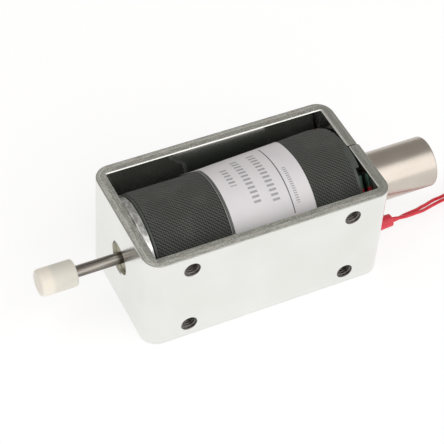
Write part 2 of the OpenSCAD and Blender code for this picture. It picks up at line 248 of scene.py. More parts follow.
@dataclass(frozen=True)
class ShearedEdge:
    """Sheared edge of the strip under its plating: grey, coarse and streaked, with a painted highlight along
    its inner edge.
    """

    name: str = "sheared_edge"
    light: Colour = (0.9, 0.91, 0.85)
    dark: Colour = (0.44, 0.45, 0.405)
    outer: Colour = (0.42, 0.425, 0.395)
    # the colour below is the painted highlight of the inner edge, not a colour of the metal
    bright: Colour = (0.86, 0.865, 0.83)

    def make(self) -> bpy.types.Material:
        """Builds the material, with a painted highlight along the strip's inner edge.

        The piece's UV map gives u along the strip and v from 0 at its inner face to 3 at its
        outer face, both in millimetres.
        """
        book = NodeBook(self.name)
        u, v = book.uv()
        at = book.place()
        along = book.node("ShaderNodeCombineXYZ", None, {0: u * 0.28, 1: v * 3.4})
        streak = book.noise(along, 1.0, 3.0, 0.6)
        speck = book.noise(at, 3.4, 3.0, 0.7)
        band = v.band(0.95, 0.4, 0.5) * 0.5 + v.band(2.35, 0.2, 0.4) * 0.2
        tone = streak * 0.6 + speck * 0.9 - band * 0.35
        tint = book.mix(tone.step(0.46, 0.82), self.dark, self.light)
        tint = book.mix(v.step(2.45, 2.75), tint, self.outer)
        x, _, _ = book.xyz()
        tint = book.mix(x.step(27.0, 31.0) * 0.6, tint, self.outer)
        # painted highlight: the inner edge is lightened towards bright where light catches it; it is also
        # smoother there and has no bump
        highlight_lip = 1 - v.step(0.2, 0.34)
        tint = book.mix(highlight_lip, tint, self.bright)
        rough = speck * 0.24 + 0.24 - highlight_lip * 0.06
        height = (streak * 0.4 + speck * 0.6) * (1 - highlight_lip)
        return book.finish(Base_Color=tint, Metallic=1.0, Roughness=rough, Normal=book.bump(height, 0.13))


@dataclass(frozen=True)
class TurnedMetal:
    """Metal turned on a lathe: fine rings across the plunger's axis."""

    name: str
    colour: Colour
    shade: Colour
    rough: float
    rings_per_mm: float = 7.0
    depth_mm: float = 0.004

    def make(self) -> bpy.types.Material:
        """Builds the material."""
        book = NodeBook(self.name)
        per_mm = 1000.0 * self.rings_per_mm
        rings = book.noise(book.place((per_mm, 60.0, 60.0)), 1.0, 3.0, 0.6)
        smear = book.noise(book.place((60.0, 160.0, 160.0)), 1.0, 3.0)
        tint = book.mix(smear.step(0.3, 0.7), self.colour, self.shade)
        return book.finish(
            Base_Color=tint, Metallic=1.0, Roughness=rings * 0.14 + (self.rough - 0.07),
            Normal=book.bump(rings, self.depth_mm),
        )


@dataclass(frozen=True)
class StreakedSteel:
    """Steel with streaks, long where its coordinates are stretched least."""

    name: str
    light: Colour
    dark: Colour
    stretch: Colour
    turn: Colour
    noise: tuple[float, float, float]
    full: float
    rough: tuple[float, float]
    depth_mm: float

    def make(self) -> bpy.types.Material:
        """Builds the material."""
        book = NodeBook(self.name)
        streak = book.noise(book.place(self.stretch, self.turn), *self.noise)
        tint = book.mix(streak.step(0.34, self.full), self.dark, self.light)
        return book.finish(
            Base_Color=tint, Metallic=1.0, Roughness=streak * self.rough[0] + self.rough[1],
            Normal=book.bump(streak, self.depth_mm),
        )


DISC_STEEL = StreakedSteel(
    "flux_disc_steel", (0.84, 0.845, 0.83), (0.4, 0.41, 0.4), (900.0, 420.0, 420.0), (0.0, 0.6, 0.5),
    (1.6, 4.0, 0.7), 0.66, (0.3, 0.2), 0.05,
)
ROD_STEEL = StreakedSteel(
    "push_rod_steel", (0.36, 0.34, 0.31), (0.12, 0.1, 0.085), (40.0, 1500.0, 1500.0), (0.0, 0.0, 0.0),
    (1.0, 3.0, 0.6), 0.62, (0.16, 0.18), 0.01,
)


@dataclass(frozen=True)
class ClothTape:
    """Black cotton tape: slanting weave of dull threads whose low places are painted dark as shade, with grey
    dust in it.
    """

    name: str = "cloth_tape"
    thread: Colour = (0.08, 0.085, 0.076)
    # the colour below is painted shade for the low places between the threads
    shaded_gap: Colour = (0.014, 0.015, 0.013)
    dust: Colour = (0.12, 0.126, 0.116)
    pitch: float = 0.54

    def make(self) -> bpy.types.Material:
        """Builds the material, with painted shade in the weave's low places.

        With a = u/pitch and b = v/pitch, the warp's height is |sin(pi a)| raised where
        sin(pi (a + b)) > 0, and the weft's the other way round.
        """
        book = NodeBook(self.name)
        u, v = book.uv()
        at = book.place()
        wander = book.noise(at, 0.35, 2.0) * 0.5
        a = (u / self.pitch) + wander
        b = (v / self.pitch) + wander
        warp = (a * np.pi).math("SINE").math("ABSOLUTE")
        weft = (b * np.pi).math("SINE").math("ABSOLUTE")
        over = ((a + b) * np.pi).math("SINE").step(-0.25, 0.25)
        height = warp * over + weft * (1 - over)
        fuzz = book.noise(at, 5.0, 3.0, 0.7)
        worn = book.noise(at, 0.16, 3.0, 0.6).step(0.4, 0.75)
        # painted shade: the weave is darkened towards the gap colour where its height is low
        tint = book.mix(height.step(0.25, 0.95), self.shaded_gap, self.thread)
        tint = book.mix(worn * height * 0.45, tint, self.dust)
        return book.finish(
            Base_Color=tint, Roughness=0.82, Normal=book.bump(height * 0.8 + fuzz * 0.2, 0.16),
            Specular_IOR_Level=0.35, Sheen_Weight=0.12, Sheen_Roughness=0.5,
        )


@dataclass(frozen=True)
class PrintedPaper:
    """White paper under a clear film that reaches past it, with a ruled line and rows of dashes."""

    name: str = "printed_paper"
    paper: Colour = (0.79, 0.765, 0.785)
    ink: Colour = (0.06, 0.06, 0.07)
    faint: Colour = (0.27, 0.27, 0.29)
    film: Colour = (0.05, 0.056, 0.05)
    aged: Colour = (0.74, 0.72, 0.75)
    glint: Colour = (0.36, 0.36, 0.35)
    shadow: Colour = (0.02, 0.02, 0.02)
    round_from: float = 10.5
    round_to: float = 41.1

    def dashes(self, book: NodeBook, u: Socket, v: Socket, row: tuple[float, ...]) -> Socket:
        """Mask of one row of dashes.

        Args:
            book: The material's helper.
            u: Place along the plunger's axis in millimetres.
            v: Place round the label in millimetres.
            row: Middle, half height, first place, last place and pitch in millimetres.

        Returns:
            1 on the row's dashes.
        """
        middle, half, first, last, pitch = row
        inside = v.step(first - 0.1, first) * (1 - v.step(last, last + 0.1))
        beat = ((v - first) / pitch).math("FRACT")
        return u.band(middle, half, 0.12) * inside * beat.step(0.18, 0.3) * (1 - beat.step(0.66, 0.78))

    def make(self) -> bpy.types.Material:
        """Builds the material."""
        book = NodeBook(self.name)
        u, v = book.uv()
        at = book.place()
        fibre = book.noise(at, 6.0, 3.0, 0.6)
        tone = book.noise(at, 0.1, 2.0)
        tint = book.mix(tone.step(0.3, 0.8), self.paper, self.aged)
        line = u.band(9.25, 0.07, 0.12) * v.step(13.4, 13.6) * (1 - v.step(35.8, 36.0))
        tint = book.mix(line, tint, self.ink)
        for row in LABEL_ROWS:
            tint = book.mix(self.dashes(book, u, v, row) * (0.55 + fibre * 0.4), tint, self.faint)
        edge = u + (1 - v.step(10.33, 12.92)) * v.step(7.23, 9.82) * LABEL_FLARE
        side = 1 - edge.step(-7.2, -7.1)
        before = 1 - v.step(self.round_from - 0.1, self.round_from + 0.1)
        beyond = before.math("MAXIMUM", v.step(self.round_to - 0.1, self.round_to + 0.1))
        clear = side.math("MAXIMUM", beyond)
        highlight_lip = edge.band(-7.86, 0.08, 0.06) * 0.7 + edge.band(-7.36, 0.08, 0.06) * 0.5
        tint = book.mix(clear, tint, self.film)
        tint = book.mix(highlight_lip * clear, tint, self.glint)
        shaded_gap = edge.band(-7.22, 0.07, 0.05) * (1 - beyond)
        tint = book.mix(shaded_gap, tint, self.shadow)
        return book.finish(
            Base_Color=tint, Roughness=fibre * 0.12 + 0.4 - clear * 0.12, Normal=book.bump(fibre, 0.01),
            Specular_IOR_Level=0.4,
        )


LABEL_ROWS = (
    (-3.1, 0.8, 17.8, 24.6, 1.25),
    (0.8, 0.9, 15.4, 31.2, 1.3),
    (5.6, 0.9, 15.0, 31.6, 1.3),
    (10.9, 0.42, 23.4, 33.6, 0.62),
)


@dataclass(frozen=True)
class SoftPlastic:
    """Plastic with a faint mottle: insulation, sleeving or a moulding."""

    name: str
    colour: Colour
    shade: Colour
    rough: float = 0.4
    grain: float = 2.0
    depth_mm: float = 0.02
    glow: float = 0.0

    def make(self) -> bpy.types.Material:
        """Builds the material."""
        book = NodeBook(self.name)
        at = book.place()
        mottle = book.noise(at, self.grain, 3.0)
        drift = book.noise(at, 0.25, 2.0)
        tint = book.mix(drift.step(0.3, 0.7), self.colour, self.shade)
        return book.finish(
            Base_Color=tint, Roughness=mottle * 0.16 + (self.rough - 0.08),
            Normal=book.bump(mottle, self.depth_mm),
            Subsurface_Weight=self.glow, Subsurface_Radius=(0.0012, 0.0011, 0.0009),
            Subsurface_Scale=1.0,
        )


@dataclass(frozen=True)
class TurnedNylon:
    """Natural nylon, milky, with the steel rod faintly grey inside it."""

    name: str = "turned_nylon"
    clear: Colour = (0.84, 0.79, 0.705)
    over_rod: Colour = (0.6, 0.6, 0.53)
    milk: Colour = (0.85, 0.82, 0.78)
    rod_to: float = -50.8

    def make(self) -> bpy.types.Material:
        """Builds the material."""
        book = NodeBook(self.name)
        x, _, _ = book.xyz()
        at = book.place()
        haze = book.noise(at, 0.5, 2.0)
        tint = book.mix(x.step(self.rod_to - 0.8, self.rod_to + 0.8) * 0.6, self.clear, self.over_rod)
        tint = book.mix(haze.step(0.3, 0.8) * 0.25, tint, self.milk)
        rings = book.noise(book.place((5000.0, 80.0, 80.0)), 1.0, 2.0)
        return book.finish(
            Base_Color=tint, Roughness=rings * 0.15 + 0.36, Normal=book.bump(rings, 0.012),
            Subsurface_Weight=0.6, Subsurface_Radius=(0.0022, 0.002, 0.0016), Subsurface_Scale=1.0,
        )


class Finish(Enum):
    """The finishes of the solenoid, each with its packed material slot."""

    SHEET = ("zinc_strip", ZincSheet())
    EDGE = ("zinc_strip", ShearedEdge())
    THREAD = ("zinc_strip", TurnedMetal("tapped_thread", (0.2, 0.185, 0.17), (0.12, 0.11, 0.1), 0.34))
    DISC = ("bright_steel", DISC_STEEL)
    IRON = ("soft_iron", TurnedMetal("pole_iron", (0.46, 0.44, 0.34), (0.34, 0.32, 0.25), 0.4))
    NYLON = ("black_nylon", SoftPlastic("bobbin_nylon", (0.055, 0.062, 0.055), (0.07, 0.078, 0.07), 0.4))
    BRASS = ("brass_tube", TurnedMetal("guide_brass", (0.78, 0.6, 0.3), (0.66, 0.5, 0.24), 0.26))
    COPPER = (
        "copper_wire",
        TurnedMetal("winding_copper", (0.72, 0.3, 0.14), (0.6, 0.22, 0.1), 0.3, 2.0, 0.05),
    )
    CLOTH = ("black_cloth", ClothTape())
    PAPER = ("white_paper", PrintedPaper())
    GREEN = ("green_sleeving", SoftPlastic("splice_sleeving", (0.02, 0.07, 0.045), (0.03, 0.09, 0.06), 0.4))
    RED = (
        "red_insulation",
        SoftPlastic("lead_insulation", (0.63, 0.016, 0.035), (0.7, 0.03, 0.05), 0.3, 1.2, 0.02, 0.1),
    )
    SLEEVE = (
        "red_sleeving",
        SoftPlastic("lead_sleeving", (0.6, 0.022, 0.045), (0.68, 0.035, 0.06), 0.34, 1.0, 0.03, 0.15),
    )
    TIE = ("tie_strip", SoftPlastic("tie_strip", (0.75, 0.75, 0.72), (0.68, 0.68, 0.65), 0.4))
    PLUNGER = (
        "nickel_bar",
        TurnedMetal("plunger_nickel", (0.6, 0.545, 0.485), (0.54, 0.49, 0.43), 0.33, 6.0, 0.006),
    )
    ROD = ("steel_rod", ROD_STEEL)
    TIP = ("natural_nylon", TurnedNylon())
    BRONZE = ("bronze_washer", TurnedMetal("washer_bronze", (0.7, 0.48, 0.27), (0.6, 0.4, 0.22), 0.3))

    def material(self) -> bpy.types.Material:
        """The finish's material, made once."""
        recipe = self.value[1]
        return bpy.data.materials.get(recipe.name) or recipe.make()

    def slot(self) -> str:
        """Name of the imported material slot."""
        return self.value[0]


# ---------------------------------------------------------------- shape helpers


def grid_quads(rows: int, cols: int, close_rows: bool, close_cols: bool) -> np.ndarray:
    """Faces of a grid of points.

    Args:
        rows: Points along the first parameter.
        cols: Points along the second parameter.
        close_rows: True if the last row joins the first.
        close_cols: True if the last column joins the first.

    Returns:
        One row of four point numbers per face: (i, j), (i+1, j), (i+1, j+1), (i, j+1).
    """
    i = np.arange(rows if close_rows else rows - 1)[:, None]
    j = np.arange(cols if close_cols else cols - 1)[None, :]
    down = (i + 1) % rows
    right = (j + 1) % cols
    corners = (i * cols + j, down * cols + j, down * cols + right, i * cols + right)
    return np.stack([np.broadcast_to(c, (i.size, j.size)) for c in corners], -1).reshape(-1, 4)


def sealed_piece(name: str, points: np.ndarray, faces: list, smooth_deg: float = 35.0) -> bpy.types.Object:
    """Makes a closed mesh with its faces turned outwards.

    Args:
        name: Name of the piece.
        points: Points in millimetres, one per row.
        faces: Lists of point numbers.
        smooth_deg: Edges that turn more than this stay sharp.

    Returns:
        The new object, at the origin.
    """
    mesh = bpy.data.meshes.new(name)
    mesh.from_pydata((np.asarray(points) * MM).tolist(), [], [list(map(int, f)) for f in faces])
    work = bmesh.new()
    work.from_mesh(mesh)
    bmesh.ops.remove_doubles(work, verts=work.verts, dist=2e-7)
    bmesh.ops.dissolve_degenerate(work, edges=work.edges, dist=1e-8)
    bmesh.ops.recalc_face_normals(work, faces=work.faces)
    work.to_mesh(mesh)
    work.free()
    mesh.shade_smooth()
    mesh.set_sharp_from_angle(angle=float(np.radians(smooth_deg)))
    piece = bpy.data.objects.new(name, mesh)
    bpy.context.scene.collection.objects.link(piece)
    return piece


def ring_points(x: np.ndarray, r: np.ndarray, angle: np.ndarray) -> np.ndarray:
    """Points round the plunger's axis: (x, r cos a, AXIS_Z + r sin a), in millimetres."""
    return np.stack(np.broadcast_arrays(x, r * np.cos(angle), AXIS_Z + r * np.sin(angle)), -1)


def round_corners(corners: list[tuple[float, float]], radii: list[float], steps: int = 4) -> np.ndarray:
    """Closed outline whose corners are rounded.

    Each corner p becomes the curve (1-t)^2 a + 2t(1-t) p + t^2 b, where a and b lie at the
    corner's radius along its two sides.

    Args:
        corners: Corner points in order.
        radii: Radius at each corner.
        steps: Pieces of each curve.

    Returns:
        The outline's points.
    """
    p = np.array(corners, float)
    back = np.roll(p, 1, 0) - p
    ahead = np.roll(p, -1, 0) - p
    size = np.array(radii, float)[:, None]
    a = p + back / np.linalg.norm(back, axis=1, keepdims=True) * size
    b = p + ahead / np.linalg.norm(ahead, axis=1, keepdims=True) * size
    t = np.linspace(0, 1, steps + 1)[None, :, None]
    curve = (1 - t) ** 2 * a[:, None] + 2 * t * (1 - t) * p[:, None] + t**2 * b[:, None]
    return curve.reshape(-1, 2)


def turned_piece(name: str, outline: np.ndarray, segments: int = 128) -> bpy.types.Object:
    """Turns a closed outline of (x, r) points round the plunger's axis.

    Args:
        name: Name of the piece.
        outline: Points (x, r) in millimetres.
        segments: Number of steps round the axis.

    Returns:
        The new object.
    """
    angle = np.linspace(0, 2 * np.pi, segments, endpoint=False)[:, None]
    points = ring_points(outline[None, :, 0], outline[None, :, 1], angle)
    return sealed_piece(name, points.reshape(-1, 3), grid_quads(segments, len(outline), True, True))


def wound_piece(name: str, x: np.ndarray, r: np.ndarray, angle: np.ndarray) -> bpy.types.Object:
    """Closed ring whose grid of places x and radii r has one row for each angle."""
    points = ring_points(x, r, angle).reshape(-1, 3)
    return sealed_piece(name, points, grid_quads(*x.shape, True, True))


def smooth_route(points: list, step_mm: float = 0.35) -> np.ndarray:
    """Points close together on a smooth curve through the given ones.

    The curve is Catmull and Rom's, with chord-length knots: each stretch between two points
    is the cubic whose ends have the slopes of the neighbouring chords.

    Args:
        points: Points to pass through, in millimetres.
        step_mm: Distance between the new points.

    Returns:
        The new points, one per row.
    """
    p = np.array(points, float)
    knots = np.concatenate([[0], np.cumsum(np.linalg.norm(np.diff(p, axis=0), axis=1))])
    slope = np.gradient(p, knots, axis=0)
    s = np.linspace(0, knots[-1], int(knots[-1] / step_mm) + 2)
    i = np.clip(np.searchsorted(knots, s, side="right") - 1, 0, len(p) - 2)
    h = (knots[i + 1] - knots[i])[:, None]
    t = ((s - knots[i])[:, None]) / h
    return (
        (2 * t**3 - 3 * t**2 + 1) * p[i] + (t**3 - 2 * t**2 + t) * h * slope[i]
        + (3 * t**2 - 2 * t**3) * p[i + 1] + (t**3 - t**2) * h * slope[i + 1]
    )


def cord_piece(name: str, route: np.ndarray, diameter: float) -> bpy.types.Object:
    """Round cord along a route, as one open curve with closed ends."""
    curve = bpy.data.curves.new(name, "CURVE")
    curve.dimensions = "3D"
    curve.bevel_depth = diameter / 2 * MM
    curve.bevel_resolution = 4
    curve.use_fill_caps = True
    spline = curve.splines.new("POLY")
    spline.points.add(len(route) - 1)
    flat = np.concatenate([np.asarray(route) * MM, np.ones((len(route), 1))], 1)
    spline.points.foreach_set("co", flat.ravel())
    piece = bpy.data.objects.new(name, curve)
    bpy.context.scene.collection.objects.link(piece)
    return piece


def mesh_values(items: bpy.types.bpy_prop_collection, name: str, width: int = 0) -> np.ndarray:
    """Reads one property of all parts of a mesh.

    Args:
        items: The mesh's vertices, loops or polygons.
        name: The property.
        width: Numbers in each value, or 0 for one whole number.

    Returns:
        The values, one row each where width is given.
    """
    values = np.empty(len(items) * max(width, 1), float if width else int)
    items.foreach_get(name, values)
    return values.reshape(-1, width) if width else values


def add_uv(piece: bpy.types.Object, radius: float) -> None:
    """Gives a round piece a UV map in millimetres: u along X, v = radius times the angle.

    The angle runs from 0 to 360 degrees from +Y over +Z, and a face that crosses 0 keeps
    its far corners beyond 360.
    """
    mesh = piece.data
    co = mesh_values(mesh.vertices, "co", 3) / MM
    loops = mesh_values(mesh.loops, "vertex_index")
    angle = np.mod(np.arctan2(co[:, 2] - AXIS_Z, co[:, 1]), 2 * np.pi)[loops]
    starts = mesh_values(mesh.polygons, "loop_start")
    totals = mesh_values(mesh.polygons, "loop_total")
    most = np.repeat(np.maximum.reduceat(angle, starts), totals)
    angle = np.where(most - angle > np.pi, angle + 2 * np.pi, angle)
    layer = mesh.uv_layers.new(name="mm")
    uv = np.stack([co[loops, 0], angle * radius], -1)
    layer.data.foreach_set("uv", uv.ravel())


def dress(piece: bpy.types.Object, finish: Finish, body: str, *nodes: str) -> bpy.types.Object:
    """Gives a piece its finish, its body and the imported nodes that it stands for.

    Args:
        piece: The piece.
        finish: Its finish.
        body: Name of the body that it moves with.
        nodes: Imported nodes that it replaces.

    Returns:
        The same piece.
    """
    if not piece.data.materials:
        piece.data.materials.append(finish.material())
    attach(piece, body)
    if nodes:
        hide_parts(*nodes)
    log.info("%s rides on %s", piece.name, body)
    return piece


# ---------------------------------------------------------------- frame


@dataclass
class BoxFrame:
    """The bent strip with its seam, its holes and its threads. Sizes in millimetres."""

    room_l: float = 60.0
    room_w: float = 30.0
    height: float = 29.0
    strip: float = 3.0
    bend: float = 4.5
    inner_bend: float = 0.4
    seam_y: float = 0.6
    seam_gap: float = 0.24
    seam_step: float = 0.3
    hole_x: float = 21.75
    hole_z: float = 10.0
    tap_r: float = 1.65
    thread_r: float = 2.0
    pitch: float = 0.7
    spigot_r: float = 4.37
    plunger_r: float = 7.25
    lead_r: float = 1.75
    lead_at: tuple[float, float] = (-11.0, 9.6)
    edge_in: float = 0.3
    edge_out: float = 0.56

    def corner(self, turn: int, step: float) -> tuple[np.ndarray, np.ndarray]:
        """Inner and outer points of one bend.

        Both are arcs, centre + radius (cos a, sin a), over the same quarter turn.

        Args:
            turn: Which bend, 0 to 3, from front right to back right, clockwise from above.
            step: How far the bend's +X wall stands further in.

        Returns:
            The inner and the outer points.
        """
        sx, sy = ((1, -1), (-1, -1), (-1, 1), (1, 1))[turn]
        start = -turn * np.pi / 2
        a = start - np.linspace(0, np.pi / 2, 17)
        way = np.stack([np.cos(a), np.sin(a)], -1)
        sides = []
        for reach_x, reach_y, r in (
            (self.room_l / 2, self.room_w / 2, self.inner_bend),
            (self.room_l / 2 + self.strip, self.room_w / 2 + self.strip, self.bend),
        ):
            reach_x -= step if sx > 0 else 0.0
            sides.append(np.array([sx * (reach_x - r), sy * (reach_y - r)]) + r * way)
        return sides[0], sides[1]

    def run(self) -> tuple[np.ndarray, np.ndarray]:
        """Inner and outer points along the whole strip, from the seam's front end round to its back end."""
        x_in = self.room_l / 2
        x_out = x_in + self.strip
        front = self.seam_y - self.seam_gap / 2
        back = self.seam_y + self.seam_gap / 2
        soft = 0.25
        inner = [np.array([[x_in + 0.12, front], [x_in, front - 0.12]])]
        outer = [np.array([[x_out - soft, front], [x_out, front - soft]])]
        for turn in range(4):
            a, b = self.corner(turn, self.seam_step if turn == 3 else 0.0)
            inner.append(a)
            outer.append(b)
        x_in -= self.seam_step
        x_out -= self.seam_step
        inner.append(np.array([[x_in, back + 0.5], [x_in + 0.5, back]]))
        outer.append(np.array([[x_out, back + soft], [x_out - soft, back]]))
        return np.concatenate(inner), np.concatenate(outer)

    def strip_body(self) -> bpy.types.Object:
        """The strip before its holes.

        A point at share s across the strip and height z is inner + s (outer - inner), and
        the cross-section is a rectangle whose corners are rounded.
        """
        inner, outer = self.run()
        corners = [(0, 0), (self.strip, 0), (self.strip, self.height), (0, self.height)]
        radii = [self.edge_in, self.edge_out, self.edge_out, self.edge_in]
        ring = round_corners(corners, radii, 3)
        share = ring[None, :, 0:1] / self.strip
        flat = inner[:, None] + share * (outer - inner)[:, None]
        z = np.broadcast_to(ring[None, :, 1:2], (*flat.shape[:2], 1))
        points = np.concatenate([flat, z], -1)
        rows, cols = points.shape[:2]
        quads = grid_quads(rows, cols, False, True).tolist()
        ends = [list(range(cols)), list(range((rows - 1) * cols, rows * cols))]
        return sealed_piece("frame_strip", points.reshape(-1, 3), quads + ends)

    @staticmethod
    def drill(
        name: str, mouth: tuple, way: tuple, outline: np.ndarray, segments: int = 64
    ) -> bpy.types.Object:
        """Solid that a hole is cut with.

        Args:
            name: Name of the tool.
            mouth: Point on the hole's axis at the outer face.
            way: Direction into the wall.
            outline: Points (depth, radius).
            segments: Steps round the hole.

        Returns:
            The tool, which is deleted after the cut.
        """
        angle = np.linspace(0, 2 * np.pi, segments, endpoint=False)[:, None]
        along = Vector(way)
        side = along.orthogonal().normalized()
        other = along.cross(side)
        d, r = outline[None, :, 0:1], outline[None, :, 1:2]
        c, s = np.cos(angle)[..., None], np.sin(angle)[..., None]
        points = np.array(mouth) + d * np.array(along) + r * (c * np.array(side) + s * np.array(other))
        rows, cols = points.shape[:2]
        quads = grid_quads(rows, cols, True, False).tolist()
        caps = [[i * cols for i in range(rows)], [i * cols + cols - 1 for i in range(rows)]]
        return sealed_piece(name, points.reshape(-1, 3), quads + caps)

    def hole_outline(self, r: float, mouth: float, back: float) -> np.ndarray:
        """Depth and radius of a through hole with a bevel at each mouth."""
        t = self.strip
        return np.array([
            (-1.0, r + mouth), (0.0, r + mouth), (mouth, r), (t - back, r), (t, r + back), (t + 1.0, r + back)
        ])

    def tapped_places(self) -> list[tuple[float, float]]:
        """X and Z of the four tapped holes."""
        middle = self.height / 2
        return [(sx * self.hole_x, middle + sz * self.hole_z) for sx in (-1, 1) for sz in (-1, 1)]

    def cut(self, body: bpy.types.Object) -> None:
        """Cuts the four tapped holes, the spigot's hole, the plunger's hole and the leads' hole."""
        out_y = -(self.room_w / 2 + self.strip)
        out_x = self.room_l / 2 + self.strip
        tapped = self.hole_outline(self.thread_r + 0.02, 0.16, 0.2)
        tools = [self.drill("tap_tool", (x, out_y, z), (0, 1, 0), tapped) for x, z in self.tapped_places()]
        for name, mouth, way, outline, segments in (
            ("spigot_tool", (-out_x, 0, AXIS_Z), (1, 0, 0), (self.spigot_r, 0.3, 0.1), 64),
            ("plunger_tool", (out_x, 0, AXIS_Z), (-1, 0, 0), (self.plunger_r, 0.15, 0.4), 96),
            ("lead_tool", (out_x, *self.lead_at), (-1, 0, 0), (self.lead_r, 0.2, 0.2), 64),
        ):
            tools.append(self.drill(name, mouth, way, self.hole_outline(*outline), segments))
        for tool in tools:
            cutter = body.modifiers.new("cut", "BOOLEAN")
            cutter.operation = "DIFFERENCE"
            cutter.solver = "EXACT"
            cutter.object = tool
        graph = bpy.context.evaluated_depsgraph_get()
        mesh = bpy.data.meshes.new_from_object(body.evaluated_get(graph))
        body.modifiers.clear()
        body.data = mesh
        for tool in tools:
            bpy.data.objects.remove(tool)

    def paint(self, body: bpy.types.Object) -> None:
        """Gives the sheared edges and the holes their own finish, and evens the shading."""
        mesh = body.data
        mesh.materials.clear()
        for finish in (Finish.SHEET, Finish.EDGE, Finish.THREAD):
            mesh.materials.append(finish.material())
        normal = mesh_values(mesh.polygons, "normal", 3)
        middle = mesh_values(mesh.polygons, "center", 3) / MM
        edge = np.abs(normal[:, 2]) > 0.3
        rim = (middle[:, 2] < 1.0) | (middle[:, 2] > self.height - 1.0)
        seam = (np.abs(middle[:, 1] - self.seam_y) < 0.2) & (middle[:, 0] > 29.0)
        front = middle[:, 1] < -self.room_w / 2 + 0.01
        hole = np.zeros(len(mesh.polygons), bool)
        for x, z in self.tapped_places():
            hole |= front & (np.hypot(middle[:, 0] - x, middle[:, 2] - z) < self.thread_r + 0.1)
        kind = np.where(hole, 2, np.where((edge & rim) | seam, 1, 0)).astype(np.int32)
        mesh.polygons.foreach_set("material_index", kind)
        mesh.shade_smooth()
        mesh.set_sharp_from_angle(angle=float(np.radians(38)))
        self.map_strip(mesh)
        even = body.modifiers.new("even_shading", "WEIGHTED_NORMAL")
        even.keep_sharp = True
        even.weight = 80

    def depth_in(self, points: np.ndarray, half: tuple[float, float], r: float) -> np.ndarray:
        """Distance outside a rectangle with rounded corners.

        With q = |p| - (half - r), it is the length of q's positive part plus the larger of q's
        parts where both are negative, less r.
        """
        q = np.abs(points) - (np.array(half) - r)
        return np.linalg.norm(np.maximum(q, 0), axis=1) + np.minimum(q.max(1), 0) - r

    def map_strip(self, mesh: bpy.types.Mesh) -> None:
        """Gives the strip a UV map in millimetres: u = x - y runs along it, v across its thickness."""
        co = mesh_values(mesh.vertices, "co", 3)[:, :2] / MM
        half = (self.room_l / 2, self.room_w / 2)
        above = np.maximum(self.depth_in(co, half, self.inner_bend), 0)
        outer = (half[0] + self.strip, half[1] + self.strip)
        below = np.maximum(-self.depth_in(co, outer, self.bend), 0)
        across = self.strip * above / np.maximum(above + below, 1e-6)
        loops = mesh_values(mesh.loops, "vertex_index")
        uv = np.stack([co[:, 0] - co[:, 1], across], -1)[loops]
        mesh.uv_layers.new(name="mm").data.foreach_set("uv", uv.ravel())

    def threads(self) -> bpy.types.Object:
        """The M4 threads in the four holes.

        The wall's radius at angle a and depth y is tap_r + (thread_r - tap_r) w, where w is a
        wave of flats and slopes in y / pitch + a / 2 pi.
        """
        angle = np.linspace(0, 2 * np.pi, 40, endpoint=False)[:, None]
        y = np.linspace(0.3, self.strip - 0.2, 44)[None, :]
        beat = np.mod(y / self.pitch + angle / (2 * np.pi), 1.0)
        wave = np.clip(1.6 * (1 - np.abs(2 * beat - 1)) - 0.25, 0, 1)
        r = self.tap_r + (self.thread_r - self.tap_r) * wave
        outer_y = np.array([[self.strip - 0.2, 0.3]])
        y = np.broadcast_to(np.concatenate([y, outer_y], 1), (angle.size, y.size + 2))
        r = np.concatenate([r, np.full((angle.size, 2), self.thread_r + 0.08)], 1)
        out_y = -(self.room_w / 2 + self.strip)
        points, faces = [], []
        quads = grid_quads(*r.shape, True, True)
        for k, (x, z) in enumerate(self.tapped_places()):
            ring = [x + r * np.cos(angle), out_y + y, z + r * np.sin(angle)]
            points.append(np.stack(ring, -1).reshape(-1, 3))
            faces.append(quads + k * r.size)
        return sealed_piece("tapped_threads", np.concatenate(points), np.concatenate(faces), 30.0)

    def build(self) -> None:
        """Builds and dresses the frame."""
        body = self.strip_body()
        self.cut(body)
        self.paint(body)
        dress(body, Finish.SHEET, HOUSING, "frame")
        dress(self.threads(), Finish.THREAD, HOUSING)


# ---------------------------------------------------------------- coil


def splice_bulge(x: np.ndarray, angle: np.ndarray) -> np.ndarray:
    """How far the wrap stands out over the joined wires that lie under it.

    It is h(x) exp(-(d / 21)^2), where d is the angle's distance from 42 degrees and h rises
    towards the far end.

    Args:
        x: Places along the plunger's axis in millimetres.
        angle: Angles from +Y towards +Z in radians.

    Returns:
        The extra radius in millimetres.
    """
    away = np.degrees(np.angle(np.exp(1j * (angle - np.radians(42.0)))))
    rise = np.interp(x, (-12.0, -8.0, -2.9, 2.5, 7.8, 14.8, 21.2, 25.0, 28.0, 29.4),
                     (0.0, 0.05, 0.4, 0.66, 0.9, 1.2, 1.6, 1.75, 1.4, 0.9))
    return rise * np.exp(-((away / 21.0) ** 2))


